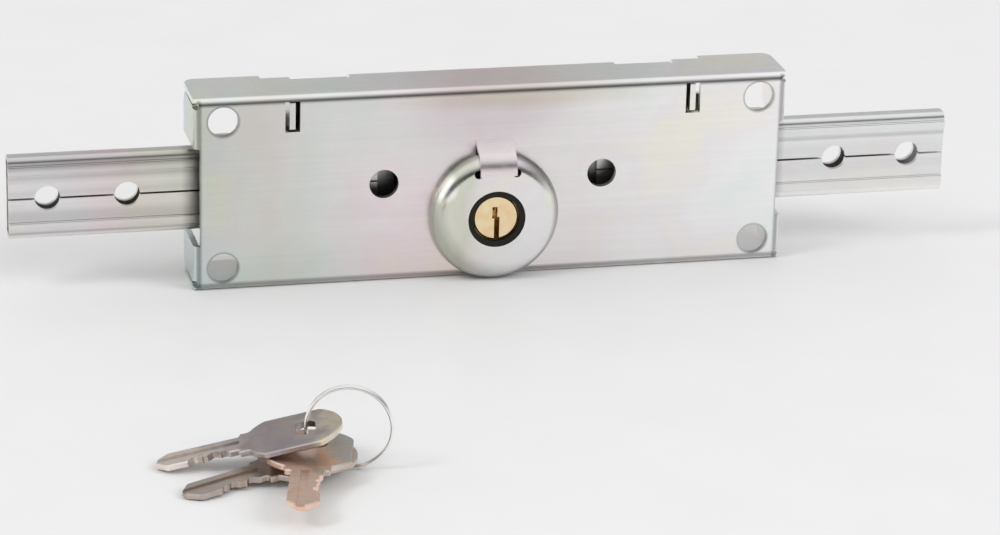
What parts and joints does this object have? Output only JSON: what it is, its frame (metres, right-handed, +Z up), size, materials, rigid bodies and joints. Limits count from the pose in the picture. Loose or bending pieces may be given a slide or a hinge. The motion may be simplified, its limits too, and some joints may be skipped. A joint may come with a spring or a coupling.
{
  "type": "roller shutter lock",
  "caption": "Central roller shutter lock: flat steel case with a guarded key cylinder that drives a sliding bolt out of each end, with its keys on a ring.",
  "frame": {"origin": "centre of the four fixing holes, on the outside of the case's face", "axes": "+X along the bolts to the right, +Y from the face into the lock, +Z up"},
  "size_m": [0.2468, 0.1683, 0.051],
  "materials": {
    "zinc_sheet": "bright zinc plating, faint passivation tints",
    "zinc_hard": "bright zinc plating on hard steel",
    "zinc_bolt": "bright zinc plating, drawn lines",
    "black_ring": "matt black",
    "brass": "machined",
    "plug_brass": "polished face",
    "pin_brass": "turned",
    "bronze": "sintered",
    "screw_steel": "zinc plated",
    "spring_steel": "bright drawn wire",
    "gear_steel": "machined, oiled",
    "ring_nickel": "nickel plated wire",
    "key_nickel": "nickel plated brass, worn",
    "key_copper": "brass with worn plating"
  },
  "bodies": {
    "case": {"front_case": "zinc_sheet", "back_cover": "zinc_sheet", "cylinder_guard": "zinc_hard", "dust_ring": "black_ring", "cylinder_body": "brass", "cylinder_screws": "screw_steel", "driver_pins": "pin_brass", "pin_springs": "spring_steel", "tail_bush": "bronze", "left_guide": "zinc_sheet", "right_guide": "zinc_sheet", "guide_rivets": "screw_steel"},
    "plug": {"plug": "plug_brass", "plug_clip": "spring_steel", "key_pins": "pin_brass", "pinion_shaft": "gear_steel", "tail_clip": "spring_steel"},
    "left_bolt": {"left_bolt": "zinc_bolt", "left_rack": "gear_steel", "left_rack_rivets": "screw_steel"},
    "right_bolt": {"right_bolt": "zinc_bolt", "right_rack": "gear_steel", "right_rack_rivets": "screw_steel"},
    "key_ring": {"key_ring": "ring_nickel"},
    "key_a": {"key_a": "key_nickel"},
    "key_b": {"key_b": "key_nickel"},
    "key_c": {"key_c": "key_copper"}
  },
  "joints": [
    {"name": "plug_turn", "type": "hinge", "parent": "case", "child": "plug", "pos_m": [0, 0, -0.0085], "axis": [0, 1, 0], "range_deg": [0, 360]},
    {"name": "left_bolt_slide", "type": "slide", "parent": "case", "child": "left_bolt", "axis": [-1, 0, 0], "range_m": [0, 0.0201]},
    {"name": "right_bolt_slide", "type": "slide", "parent": "case", "child": "right_bolt", "axis": [1, 0, 0], "range_m": [0, 0.0201]},
    {"name": "key_ring_lift", "type": "slide", "parent": "case", "child": "key_ring", "axis": [0, 0, 1], "range_m": [0, 0.1]},
    {"name": "key_a_lift", "type": "hinge", "parent": "key_ring", "child": "key_a", "pos_m": [-0.07011, -0.1159, -0.01635], "axis": [0.1564, 0.9877, 0], "range_deg": [0, 20]},
    {"name": "key_b_swing", "type": "hinge", "parent": "key_ring", "child": "key_b", "pos_m": [-0.06727, -0.11659, -0.0223], "axis": [0, 0, 1], "range_deg": [0, 12]},
    {"name": "key_c_swing", "type": "hinge", "parent": "key_ring", "child": "key_c", "pos_m": [-0.06889, -0.1162, -0.02016], "axis": [0, 0, 1], "range_deg": [0, 28]}
  ],
  "couplings": [
    {"joint": "plug_turn", "follows": "left_bolt_slide", "rad_per_m": 312.5},
    {"joint": "right_bolt_slide", "follows": "left_bolt_slide", "ratio": 1}
  ]
}
